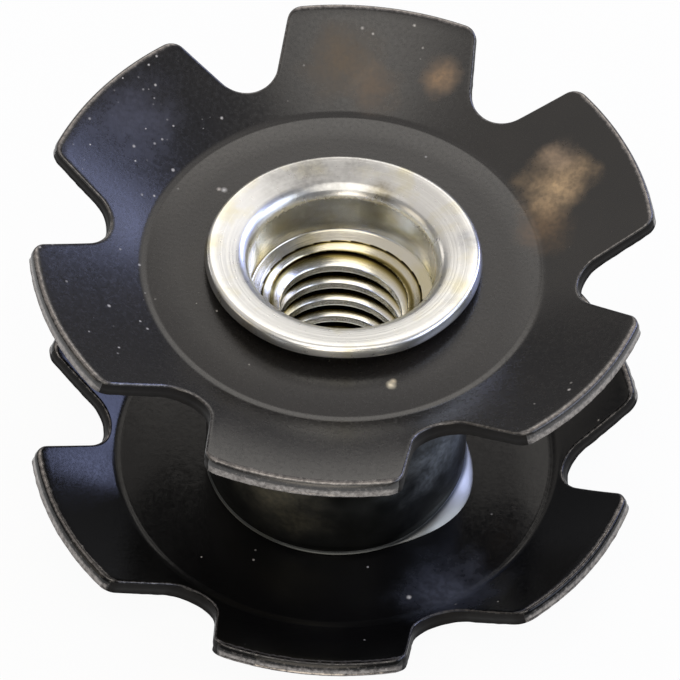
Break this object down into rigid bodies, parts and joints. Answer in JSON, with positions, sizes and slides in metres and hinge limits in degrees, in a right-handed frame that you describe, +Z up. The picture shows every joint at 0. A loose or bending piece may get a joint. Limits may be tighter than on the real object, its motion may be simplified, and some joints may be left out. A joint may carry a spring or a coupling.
{
  "type": "star nut",
  "caption": "Star-fangled nut: two dished star washers with flared tabs, held apart by a spacer tube on a flared, threaded insert.",
  "frame": {"origin": "centre of the underside of the insert's head, which is the middle of the bottom of the part's box", "axes": "+Z up the axis of the bolt, from the head towards the flared rim; a notch of the upper star is centred on +X and one of its tabs on +Y"},
  "size_m": [0.0254, 0.0258, 0.016],
  "materials": {
    "zinc_plated_steel": "bright zinc plating with a faint straw tint, satin on the rim and brighter in the bore",
    "blackened_spring_steel": "semi-gloss black coat over stamped spring steel, worn grey on the sheared edges",
    "blackened_tube": "semi-gloss black coat over a turned steel tube"
  },
  "bodies": {
    "root": {"threaded_insert": "zinc_plated_steel", "star_lower": "blackened_spring_steel", "spacer": "blackened_tube", "star_upper": "blackened_spring_steel"}
  },
  "joints": []
}
